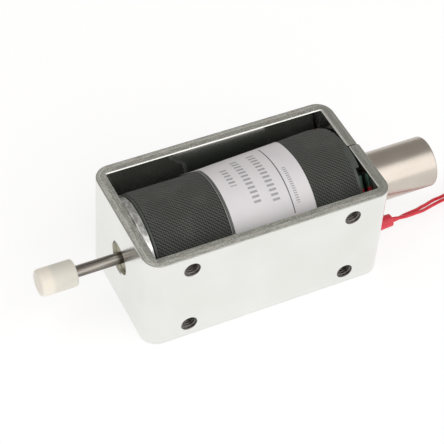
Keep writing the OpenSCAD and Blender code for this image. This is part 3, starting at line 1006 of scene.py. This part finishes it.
@dataclass
class Coil:
    """Flux disc, bobbin, winding, cloth tape and label. Sizes in millimetres."""

    x_disc: float = -30.0
    disc_bore: float = 6.8
    x_bobbin: float = -28.2
    x_end: float = 29.5
    flange_r: float = 14.7
    near_flange: float = 1.0
    x_web: float = 27.4
    x_channel: float = 28.45
    channel_r: float = 9.6
    boss: tuple[float, float] = (54.0, 115.0)
    bore_r: float = 7.21
    tube_r: float = 8.31
    tape_r: float = 14.75
    tape_in_r: float = 13.5
    label_r: float = 14.8
    label_x: tuple[float, float] = (-7.95, 15.15)

    def disc(self) -> bpy.types.Object:
        """The flux disc, a ring with softened edges."""
        near, far, rim = self.x_disc, self.x_bobbin, self.flange_r
        corners = [(near, self.disc_bore), (near, rim), (far, rim), (far, self.disc_bore)]
        return turned_piece("flux_disc_ring", round_corners(corners, [0.1, 0.22, 0.1, 0.1], 3), 160)

    def bobbin(self) -> bpy.types.Object:
        """The bobbin, whose end face is set back everywhere but on its raised part.

        The end face's place is x_end on the raised part and inside channel_r, and x_channel
        elsewhere.
        """
        a0, a1 = np.radians(self.boss)
        angle = np.concatenate([
            np.linspace(a0, a1, 40), np.linspace(a1, a0 + 2 * np.pi, 140)
        ])
        raised = np.concatenate([np.ones(40, bool), np.zeros(140, bool)])
        face = np.where(raised, self.x_end, self.x_channel)[:, None]
        soft = 0.12
        left, rim = self.x_bobbin, self.flange_r
        near = left + self.near_flange
        x = [left, left, left + 0.26, left + 0.28, left + 0.28 + soft, near - soft, near,
             near, self.x_web, self.x_web, self.x_web + soft]
        r = [self.bore_r, rim - 0.7, rim - 0.7, rim - soft, rim, rim, rim - soft,
             self.tube_r, self.tube_r, rim - soft, rim]
        x = np.concatenate([
            np.broadcast_to(np.array(x)[None], (angle.size, len(x))), face - soft, face, face,
            np.full((angle.size, 2), self.x_end),
        ], 1)
        r = np.concatenate([r, [rim, rim - soft, self.channel_r, self.channel_r, self.bore_r]])[None]
        return wound_piece("bobbin_moulding", x, np.broadcast_to(r, x.shape), angle[:, None])

    def tape(self) -> bpy.types.Object:
        """The wrap of cloth tape, slightly uneven, with the step of its outer end underneath.

        The outer radius is tape_r - 0.02 + 0.012 n(x, a) + 0.045 s(a) + splice_bulge(x, a),
        where n is a sum of slow sines and s falls from 1 to 0 over the turn that starts at the
        tape's end. It is up to 0.05 lower within 0.4 of either edge. Its far edge
        lies over the far flange at the back, where it is frayed, and stops short of it elsewhere.
        """
        x0, x1 = self.x_bobbin + self.near_flange + 0.05, self.x_web - 0.05
        a = np.linspace(0, 2 * np.pi, 360, endpoint=False)[:, None]
        deg = np.degrees(a)
        over = np.clip((deg + 20) / 25, 0, 1) * np.clip((98 - deg) / 16, 0, 1)
        fray = 0.1 * np.sin(7.3 * deg) + 0.06 * np.sin(2.9 * deg + 1) + 0.05 * np.sin(0.7 * deg)
        last = x1 + 0.06 + over * (1.78 + fray)
        x = x0 + (last - x0) * np.linspace(0, 1, 130)[None, :]
        slow = np.sin(0.31 * x + 3 * a) + 0.6 * np.sin(0.83 * x - 5 * a + 1.3) + 0.5 * np.sin(1.9 * x + 8 * a)
        turn = np.mod(a + 1.2, 2 * np.pi) / (2 * np.pi)
        r = self.tape_r - 0.02 + 0.012 * slow + 0.045 * (1 - turn)
        ends = np.clip(np.minimum(x - x0, last - x) / 0.4, 0, 1)
        r = r - 0.05 * (1 - ends) ** 2 + splice_bulge(x, a)
        lap = self.flange_r + 0.005 + splice_bulge(last, a) * 0.8
        deep = np.full((a.size, 2), self.tape_in_r)
        x = np.concatenate([x, last, np.broadcast_to([x1 + 0.03, x1, x0], (a.size, 3))], 1)
        r = np.concatenate([r, lap, lap, deep], 1)
        return wound_piece("cloth_wrap", x, r, a)

    def paper(self) -> bpy.types.Object:
        """The label, whose loose end stands off a little at the back and runs askew.

        Its near edge is at -7.95 mm, moved by -3.4 s towards the back, where s is the smooth
        step of the angle from 50 down to 40 degrees, and falls back to 0 from 38 to 28 degrees.
        """
        a = np.linspace(0, 2 * np.pi, 220, endpoint=False)[:, None]
        deg = np.degrees(a)
        t = np.clip((50 - deg) / 10, 0, 1)
        s = t * t * (3 - 2 * t) * np.clip((deg - 28) / 10, 0, 1)
        left = self.label_x[0] - LABEL_FLARE * s
        right = self.label_x[1]
        share = np.linspace(0, 1, 40)[None, :]
        x = left + (right - left) * share
        lift = 0.22 * s * (1 - share) ** 3
        bulge = splice_bulge(x, a)
        top = self.label_r + 0.08 + lift + bulge
        low = self.label_r + lift + bulge
        x = np.concatenate([x, x[:, ::-1]], 1)
        r = np.concatenate([top, low[:, ::-1]], 1)
        return wound_piece("label_band", x, r, a)

    def build(self) -> None:
        """Builds and dresses the coil."""
        dress(self.disc(), Finish.DISC, HOUSING, "flux_disc")
        dress(self.bobbin(), Finish.NYLON, HOUSING, "bobbin")
        tape = self.tape()
        add_uv(tape, self.tape_r)
        dress(tape, Finish.CLOTH, HOUSING, "cloth_tape")
        paper = self.paper()
        add_uv(paper, self.label_r)
        dress(paper, Finish.PAPER, HOUSING, "label")
        for node, finish in (("winding", Finish.COPPER), ("guide_tube", Finish.BRASS)):
            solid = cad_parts[node]
            solid.data.materials.clear()
            solid.data.materials.append(finish.material())


# ---------------------------------------------------------------- pole and armature


@dataclass
class Iron:
    """The fixed pole and the moving plunger with its rod and tip. Sizes in millimetres."""

    plunger_r: float = 6.75
    x_in: float = -30.0
    x_spigot: float = -31.8
    spigot_r: float = 4.35
    x_pole: float = -4.0
    cone: float = 5.0
    land: float = 0.5
    nose_r: float = 3.2
    x_nose: float = 3.8
    x_out: float = 54.2
    rod_r: float = 1.5
    x_rod: float = -50.8
    rod_deep: float = 8.0
    tip: tuple[float, float] = (-54.2, -44.6)
    tip_r: float = 3.5

    def pole(self) -> bpy.types.Object:
        """The pole: spigot, body and cup."""
        bore = self.rod_r + 0.08
        corners = [
            (self.x_spigot, bore), (self.x_spigot, self.spigot_r), (self.x_in, self.spigot_r),
            (self.x_in, self.plunger_r), (self.x_pole, self.plunger_r),
            (self.x_pole, self.plunger_r - self.land), (self.x_pole - self.cone, self.nose_r),
            (self.x_pole - self.cone, bore),
        ]
        radii = [0.2, 0.3, 0.05, 0.1, 0.1, 0.1, 0.1, 0.05]
        return turned_piece("pole_core", round_corners(corners, radii, 3), 96)

    def plunger(self) -> bpy.types.Object:
        """The plunger: conical nose, bore for the rod, and a small chamfer at its outer end."""
        bore = self.rod_r + 0.02
        corners = [
            (self.x_nose, bore), (self.x_nose, self.nose_r),
            (self.x_nose + self.cone, self.plunger_r - self.land),
            (self.x_nose + self.cone, self.plunger_r), (self.x_out, self.plunger_r),
            (self.x_out, 0.0), (self.x_nose + self.rod_deep, 0.0), (self.x_nose + self.rod_deep, bore),
        ]
        radii = [0.1, 0.1, 0.1, 0.1, 0.42, 0, 0, 0.05]
        return turned_piece("plunger_bar", round_corners(corners, radii, 5), 160)

    def rod(self) -> bpy.types.Object:
        """The push rod, from inside the tip to inside the plunger."""
        left, right = self.x_rod, self.x_nose + self.rod_deep
        corners = [(left, 0.0), (left, self.rod_r), (right, self.rod_r), (right, 0.0)]
        return turned_piece("push_rod_bar", round_corners(corners, [0, 0.2, 0.2, 0], 3), 64)

    def tip_cap(self) -> bpy.types.Object:
        """The nylon cap with its rounded edges and blind bore."""
        left, right = self.tip
        bore = self.rod_r + 0.02
        corners = [
            (left, 0.0), (left, self.tip_r), (right, self.tip_r), (right, bore),
            (self.x_rod, bore), (self.x_rod, 0.0),
        ]
        return turned_piece("nylon_tip", round_corners(corners, [0, 1.0, 0.7, 0.15, 0.1, 0], 7), 96)

    def build(self) -> None:
        """Builds and dresses the pole and the moving pieces."""
        dress(self.pole(), Finish.IRON, HOUSING, "pole")
        dress(self.plunger(), Finish.PLUNGER, ARMATURE, "plunger")
        dress(self.rod(), Finish.ROD, ARMATURE, "push_rod")
        dress(self.tip_cap(), Finish.TIP, ARMATURE, "rod_tip")
        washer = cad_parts["stop_washer"]
        washer.data.materials.clear()
        washer.data.materials.append(Finish.BRONZE.material())


# ---------------------------------------------------------------- leads


@dataclass
class Leads:
    """The two leads with their inner stretches, splices, sleeve, coil and tie. Sizes in millimetres."""

    diameter: float = 0.9
    length: float = 200.0
    exit_y: float = -11.0
    exit_z: float = 9.6
    pitch: float = 1.0
    wall_x: float = 33.0
    flange_r: float = 14.7
    lay_x: float = 29.0
    lie_z: float = 0.8
    coil_at: tuple[float, float] = (69.5, -6.6)
    layer: float = 0.95
    upper_run: tuple = (
        (4.9, 0, 1), (6.5, -0.1, 0.98), (8.4, -0.2, 0.94), (10.3, 0.2, 0.86), (12.2, 0.8, 0.77),
        (14.2, 1.4, 0.69), (16.1, 2.1, 0.59), (18.1, 3, 0.48), (20.1, 4, 0.38), (22.1, 5, 0.28),
        (24.1, 5.9, 0.19), (26.2, 6.8, 0.1), (28.4, 7.6, 0.02), (30.6, 8.4, 0), (32.6, 9.2, 0),
        (34.4, 9.8, 0),
    )
    lower_run: tuple = (
        (4.9, 0, 1), (6.5, 0.1, 0.98), (8.4, 0.5, 0.95), (10.2, 1.2, 0.89), (12, 1.8, 0.82),
        (13.9, 2.4, 0.75), (15.7, 3.1, 0.66), (17.6, 4, 0.57), (19.6, 4.9, 0.47), (21.6, 5.9, 0.37),
        (23.6, 6.8, 0.28), (25.8, 7.7, 0.16), (28, 8.6, 0.05), (30.2, 9.4, 0), (32.3, 10.2, 0),
        (34.1, 10.8, 0),
    )

    def free_points(self, run: tuple, side: float) -> np.ndarray:
        """Points of a free lead before its coil: (wall_x + d, exit_y + s, lie_z + share * rise)."""
        rise = self.exit_z + side * self.pitch / 2 - self.lie_z
        p = np.array(run, float)
        return np.stack([self.wall_x + p[:, 0], self.exit_y + p[:, 1], self.lie_z + p[:, 2] * rise], -1)

    def coil_points(self, columns: list[float], layers: list[int], start: float, turns: float) -> np.ndarray:
        """Points of a coil: radius and layer change smoothly over the last fifth of each turn.

        At turn number n + t the point is (r cos a, r sin a, lie_z + layer * l) round coil_at,
        with a = start - 2 pi (n + t), and r and l going from turn n's to turn n+1's by the
        smooth step of (t - 0.8) / 0.2.

        Args:
            columns: Radius of each turn.
            layers: Layer of each turn.
            start: Angle of the first point, in radians.
            turns: Number of turns.

        Returns:
            The points.
        """
        n = np.linspace(0, turns, int(turns * 72))[1:]
        k = np.minimum(n.astype(int), len(columns) - 1)
        nxt = np.minimum(k + 1, len(columns) - 1)
        t = np.clip((n - k - 0.8) / 0.2, 0, 1)
        s = t * t * (3 - 2 * t)
        r = np.array(columns)[k] * (1 - s) + np.array(columns)[nxt] * s
        z = np.array(layers, float)[k] * (1 - s) + np.array(layers, float)[nxt] * s
        a = start - 2 * np.pi * n
        x, y = self.coil_at[0] + r * np.cos(a), self.coil_at[1] + r * np.sin(a)
        return np.stack([x, y, self.lie_z + self.layer * z], -1)

    def whole_route(self, run: tuple, side: float, columns: list[float], layers: list[int]) -> np.ndarray:
        """Route of one lead from its sleeve to its bare end, cut to the lead's length."""
        free = smooth_route(self.free_points(run, side).tolist())
        off = free[-1, :2] - np.array(self.coil_at)
        columns = [float(np.hypot(*off)), *columns[1:]]
        coil = self.coil_points(columns, layers, float(np.arctan2(off[1], off[0])), len(columns))
        route = np.concatenate([free, coil])
        run_mm = np.concatenate([[0], np.cumsum(np.linalg.norm(np.diff(route, axis=0), axis=1))])
        outside = run_mm[len(free) - 1]
        log.info("lead route holds %.1f mm, of which %.1f mm is outside the coil", run_mm[-1], outside)
        keep = run_mm < self.length
        last = np.stack([np.interp(self.length, run_mm, route[:, k]) for k in range(3)])
        return np.concatenate([route[keep], last[None]])

    def at_flange(self, x: float, deg: np.ndarray, depth: float) -> np.ndarray:
        """Points at an angle from +Y towards +Z, at a depth below the flange's rim."""
        r = self.flange_r - depth
        a = np.radians(np.asarray(deg, float))
        return np.stack([np.full(a.shape, x), r * np.cos(a), AXIS_Z + r * np.sin(a)], -1)

    def tail(
        self, start: float, end: float, step: float, depth: float, last: tuple, side: float
    ) -> np.ndarray:
        """Route of one inner stretch, round the flange's channel and out through the sleeve."""
        arc = self.at_flange(self.lay_x, np.arange(start, end, step), depth)
        bend = self.at_flange(self.lay_x + 0.2, np.array([last[0]]), last[1])
        z = self.exit_z + side * self.pitch / 2
        out = [[x, self.exit_y, z] for x in (30.0, 31.2, 34.5, 37.9)]
        return np.concatenate([arc, bend, out])

    def sleeve(self) -> bpy.types.Object:
        """The sleeve: a tube that is a little flattened and flared at its cut end.

        Its outer radius is 1.88 - 0.2 f, where f falls to 0 just outside the wall and rises to 1
        at its end.
        """
        x = np.linspace(31.2, 38.45, 30)
        f = np.clip((x - 34.5) / 3.5, 0, 1)
        f = 1 - (1 - f) * np.clip((x - 33.0) / 0.8, 0, 1)
        outer, inner = 1.88 - 0.2 * f, 1.14 + 0.05 * f
        ring_x = np.concatenate([x, x[::-1]])
        ring_r = np.concatenate([outer, inner[::-1]])
        a = np.linspace(0, 2 * np.pi, 48, endpoint=False)[:, None]
        y = self.exit_y + ring_r * np.cos(a) * (1 + 0.02 * np.sin(3 * a))
        z = self.exit_z + ring_r * np.sin(a) * 0.99
        points = np.stack([np.broadcast_to(ring_x, y.shape), y, z], -1)
        return sealed_piece("lead_sleeving", points.reshape(-1, 3), grid_quads(*y.shape, True, True), 50.0)

    def tie(self) -> bpy.types.Object:
        """The tie: a flat strip that follows the coil's section, with rounded corners."""
        outer = round_corners([(2.71, 0.0), (7.68, 0.0), (7.68, 3.48), (2.71, 3.48)], [0.8] * 4, 6)
        inner = round_corners([(2.96, 0.25), (7.43, 0.25), (7.43, 3.23), (2.96, 3.23)], [0.6] * 4, 6)
        half = 0.8
        rings = [(outer, -half), (outer, half), (inner, half), (inner, -half)]
        turn = np.radians(-60.0)
        c, s = np.cos(turn), np.sin(turn)
        points = []
        for ring, w in rings:
            x = self.coil_at[0] + ring[:, 0] * c - w * s
            y = self.coil_at[1] + ring[:, 0] * s + w * c
            points.append(np.stack([x, y, ring[:, 1]], -1))
        grid = np.stack(points)
        return sealed_piece("tie_band", grid.reshape(-1, 3), grid_quads(*grid.shape[:2], True, True))

    def build(self) -> None:
        tie = dress(self.tie(), Finish.TIE, HOUSING, "lead_tie")
        plans = (
            ("lead_upper", self.upper_run, 1.0, [5.79, 3.64, 3.64, 5.79, 5.79, 3.64], [0, 0, 1, 1, 2, 2]),
            ("lead_lower", self.lower_run, -1.0, [6.84, 4.71, 4.71, 6.84, 6.84, 4.71], [0, 0, 1, 1, 2, 2]),
        )
        for name, run, side, columns, layers in plans:
            route = self.whole_route(run, side, columns, layers)
            wire = cord_piece(name + "_wire", route, self.diameter)
            piece = dress(wire, Finish.RED, HOUSING, name, "lead_coil")
        front = self.tail(137, 198, 10, 1.7, (201.0, 2.4), 1.0)
        rear = self.tail(31, -138, -14, 2.1, (-148.3, 2.1), -1.0)
        for name, points in (("tail_front", front), ("tail_rear", rear)):
            wire = cord_piece(name + "_wire", smooth_route(points.tolist()), self.diameter)
            dress(wire, Finish.RED, HOUSING, name)
            splice = name.replace("tail", "splice")
            way = points[0] - points[1]
            way = way / np.linalg.norm(way)
            ends = np.stack([points[0], points[0] + 3.4 * way])
            dress(cord_piece(splice + "_sleeving", ends, 1.1), Finish.GREEN, HOUSING, splice)
        dress(self.sleeve(), Finish.SLEEVE, HOUSING, "lead_sleeve")


# ---------------------------------------------------------------- room, light and camera


@dataclass
class Studio:
    """Pale floor, soft light and the camera."""

    camera_at: tuple[float, float, float] = (-142.076, -246.615, 320.87)
    right: tuple[float, float, float] = (0.89955, -0.43341, 0.05437)
    up: tuple[float, float, float] = (0.2857, 0.67794, 0.67733)
    lens: float = 134.67

    def camera(self) -> None:
        """Makes the camera at its measured place."""
        data = bpy.data.cameras.new("camera")
        data.lens = self.lens
        data.sensor_width = 36.0
        data.clip_start, data.clip_end = 0.01, 10.0
        camera = bpy.data.objects.new("camera", data)
        bpy.context.scene.collection.objects.link(camera)
        right, up = Vector(self.right).normalized(), Vector(self.up).normalized()
        back = right.cross(up).normalized()
        turn = Matrix((right, up, back)).transposed().to_4x4()
        camera.matrix_world = Matrix.Translation(Vector(self.camera_at) * MM) @ turn
        bpy.context.scene.camera = camera

    def floor(self) -> None:
        """Makes the pale floor."""
        mesh = bpy.data.meshes.new("floor")
        half = 3.0
        corners = [(-half, -half, 0), (half, -half, 0), (half, half, 0), (-half, half, 0)]
        mesh.from_pydata(corners, [], [(0, 1, 2, 3)])
        floor = bpy.data.objects.new("floor", mesh)
        bpy.context.scene.collection.objects.link(floor)
        book = NodeBook("floor_white")
        mesh.materials.append(book.finish(
            Base_Color=(0.33, 0.33, 0.33), Roughness=0.8, Specular_IOR_Level=0.0,
            Emission_Color=(1.0, 1.0, 1.0), Emission_Strength=0.74,
        ))

    @staticmethod
    def softbox(name: str, at: tuple, aim: tuple, size: tuple, power: float) -> None:
        """Adds one rectangular soft light.

        Args:
            name: Name of the light.
            at: Its place in metres.
            aim: The point it looks at, in metres.
            size: Its two sides in metres.
            power: Its power in watts.
        """
        data = bpy.data.lights.new(name, "AREA")
        data.shape = "RECTANGLE"
        data.size, data.size_y = size
        data.energy = power
        light = bpy.data.objects.new(name, data)
        bpy.context.scene.collection.objects.link(light)
        light.location = at
        light.rotation_mode = "QUATERNION"
        light.rotation_quaternion = (Vector(aim) - Vector(at)).to_track_quat("-Z", "Y")

    def lights(self) -> None:
        """Sets a dim warm surround, a large soft light in front and a small one at the left."""
        scene = bpy.context.scene
        world = bpy.data.worlds.new("surround")
        world.use_nodes = True
        world.node_tree.nodes["Background"].inputs[0].default_value = (1.0, 0.96, 0.92, 1.0)
        world.node_tree.nodes["Background"].inputs[1].default_value = 0.38
        scene.world = world
        scene.view_settings.view_transform = "Standard"
        centre = (0.0, 0.0, 0.015)
        self.softbox("front_box", (0.343, -0.937, 0.752), centre, (2.0, 1.6), 13.2)
        self.softbox("left_box", (-0.45, 0.15, 0.95), centre, (0.8, 0.8), 2.0)

    def build(self) -> None:
        """Makes the camera, the floor and the lights."""
        self.camera()
        self.floor()
        self.lights()


def main() -> None:
    Studio().build()
    Leads().build()
    BoxFrame().build()
    Coil().build()
    Iron().build()


if __name__ == "__main__":
    main()
